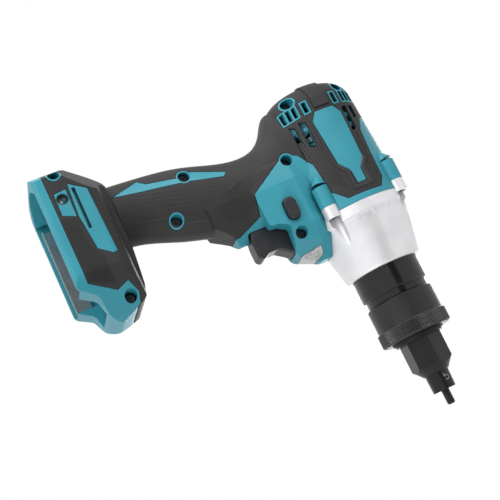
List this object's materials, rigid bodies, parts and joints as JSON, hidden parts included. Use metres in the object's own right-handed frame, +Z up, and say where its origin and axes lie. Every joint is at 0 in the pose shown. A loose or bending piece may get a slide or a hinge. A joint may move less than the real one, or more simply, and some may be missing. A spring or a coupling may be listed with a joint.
{
  "type": "cordless rivet nut gun",
  "caption": "Pistol-shaped cordless gun that pulls threaded rivet nuts, with hexagonal nosepiece, stroke sleeve, two-tone grip and open battery foot.",
  "frame": {"origin": "centre of the nosepiece's front face, on the barrel axis, where the threaded mandrel comes out", "axes": "+X points forward along the barrel and mandrel, +Y to the tool's left, +Z up; the grip hangs towards -Z"},
  "size_m": [0.2223, 0.077, 0.2179],
  "materials": {
    "black_gloss_metal": "glossy black",
    "black_matte_metal": "matte black",
    "black_plastic": "moulded",
    "black_rubber": "soft overmoulding, matte",
    "black_steel": "black oxide, satin",
    "brass_insert": "turned",
    "cast_aluminium": "fine blasted die casting",
    "circuit_board": "solder mask",
    "clear_lens": "clear",
    "copper_wire": "enamelled copper",
    "fan_plastic": "moulded",
    "ground_steel": "ground",
    "lamination": "laminated electrical steel",
    "lead_rubber": "wire insulation",
    "magnet": "nickel plated",
    "rail_steel": "plated sheet",
    "teal_nylon": "glass-filled nylon, fine texture",
    "threaded_steel": "satin, threaded",
    "zinc_screws": "zinc plated"
  },
  "bodies": {
    "gun": {"barrel_collar": "black_gloss_metal", "barrel_tube": "ground_steel", "battery_leads": "lead_rubber", "battery_rails": "rail_steel", "circlip": "black_steel", "control_board": "circuit_board", "control_heat_sink": "cast_aluminium", "foot_cover_left": "black_rubber", "foot_cover_right": "black_rubber", "front_bearing_outer": "ground_steel", "gear_housing": "cast_aluminium", "gear_housing_screws": "zinc_screws", "gearcase_rear_plate": "cast_aluminium", "grip_cover_left": "black_rubber", "grip_cover_right": "black_rubber", "hook_inserts": "brass_insert", "housing_left": "teal_nylon", "housing_right": "teal_nylon", "housing_screws": "zinc_screws", "lamp_board": "circuit_board", "lamp_lens": "clear_lens", "motor_leads": "lead_rubber", "motor_sensor_board": "circuit_board", "nosepiece": "black_steel", "rear_bearing_outer": "ground_steel", "ring_gear": "ground_steel", "spindle_bearing_outer": "ground_steel", "stator_coils": "copper_wire", "stator_core": "lamination", "switch_body": "black_plastic", "terminal_blades": "zinc_screws", "terminal_block": "black_plastic", "thrust_washer": "ground_steel"},
    "rotor": {"rotor_shaft": "ground_steel", "rotor_core": "lamination", "rotor_magnets": "magnet", "cooling_fan": "fan_plastic", "pinion": "ground_steel", "front_bearing_inner": "ground_steel", "rear_bearing_inner": "ground_steel"},
    "first_stage": {"first_carrier": "ground_steel", "second_sun": "ground_steel"},
    "planet_1a": {"planet_1a": "ground_steel"},
    "planet_1b": {"planet_1b": "ground_steel"},
    "planet_1c": {"planet_1c": "ground_steel"},
    "spindle": {"output_carrier": "ground_steel", "spindle_nut": "ground_steel", "spindle_bearing_inner": "ground_steel", "thrust_needle_cage": "ground_steel"},
    "planet_2a": {"planet_2a": "ground_steel"},
    "planet_2b": {"planet_2b": "ground_steel"},
    "planet_2c": {"planet_2c": "ground_steel"},
    "pull": {"pull_screw": "ground_steel", "mandrel": "threaded_steel"},
    "stroke_sleeve": {"adjusting_sleeve": "black_matte_metal"},
    "stroke_stop": {"stop_ring": "ground_steel"},
    "trigger": {"trigger": "black_plastic"},
    "direction_lever": {"direction_lever": "black_plastic"}
  },
  "joints": [
    {"name": "rotor_spin", "type": "hinge", "parent": "gun", "child": "rotor", "pos_m": [-0.16, 0, 0], "axis": [1, 0, 0], "continuous": true},
    {"name": "first_stage_spin", "type": "hinge", "parent": "gun", "child": "first_stage", "pos_m": [-0.124, 0, 0], "axis": [1, 0, 0], "continuous": true},
    {"name": "planet_1a_spin", "type": "hinge", "parent": "first_stage", "child": "planet_1a", "pos_m": [-0.1298, 0.015, 0], "axis": [1, 0, 0], "continuous": true},
    {"name": "planet_1b_spin", "type": "hinge", "parent": "first_stage", "child": "planet_1b", "pos_m": [-0.1298, -0.0075, 0.01299], "axis": [1, 0, 0], "continuous": true},
    {"name": "planet_1c_spin", "type": "hinge", "parent": "first_stage", "child": "planet_1c", "pos_m": [-0.1298, -0.0075, -0.01299], "axis": [1, 0, 0], "continuous": true},
    {"name": "spindle_spin", "type": "hinge", "parent": "gun", "child": "spindle", "pos_m": [-0.1, 0, 0], "axis": [1, 0, 0], "continuous": true},
    {"name": "planet_2a_spin", "type": "hinge", "parent": "spindle", "child": "planet_2a", "pos_m": [-0.1178, 0.015, 0], "axis": [1, 0, 0], "continuous": true},
    {"name": "planet_2b_spin", "type": "hinge", "parent": "spindle", "child": "planet_2b", "pos_m": [-0.1178, -0.0075, 0.01299], "axis": [1, 0, 0], "continuous": true},
    {"name": "planet_2c_spin", "type": "hinge", "parent": "spindle", "child": "planet_2c", "pos_m": [-0.1178, -0.0075, -0.01299], "axis": [1, 0, 0], "continuous": true},
    {"name": "pull_stroke", "type": "slide", "parent": "spindle", "child": "pull", "axis": [1, 0, 0], "range_m": [-0.006, 0]},
    {"name": "stroke_setting", "type": "hinge", "parent": "gun", "child": "stroke_sleeve", "pos_m": [-0.05, 0, 0], "axis": [1, 0, 0], "range_deg": [0, 270]},
    {"name": "stop_travel", "type": "slide", "parent": "gun", "child": "stroke_stop", "axis": [1, 0, 0], "range_m": [0, 0.004]},
    {"name": "trigger_press", "type": "slide", "parent": "gun", "child": "trigger", "axis": [1, 0, 0], "range_m": [-0.006, 0], "stiffness_N_per_m": 900, "springref_m": 0.001},
    {"name": "direction_shift", "type": "slide", "parent": "gun", "child": "direction_lever", "axis": [0, 1, 0], "range_m": [-0.003, 0.003]}
  ],
  "couplings": [
    {"joint": "first_stage_spin", "follows": "rotor_spin", "ratio": 0.2},
    {"joint": "planet_1a_spin", "follows": "rotor_spin", "ratio": -0.53333},
    {"joint": "planet_1b_spin", "follows": "rotor_spin", "ratio": -0.53333},
    {"joint": "planet_1c_spin", "follows": "rotor_spin", "ratio": -0.53333},
    {"joint": "spindle_spin", "follows": "rotor_spin", "ratio": 0.04},
    {"joint": "planet_2a_spin", "follows": "rotor_spin", "ratio": -0.10667},
    {"joint": "planet_2b_spin", "follows": "rotor_spin", "ratio": -0.10667},
    {"joint": "planet_2c_spin", "follows": "rotor_spin", "ratio": -0.10667},
    {"joint": "stop_travel", "follows": "stroke_setting", "m_per_rad": 0.00084883}
  ]
}
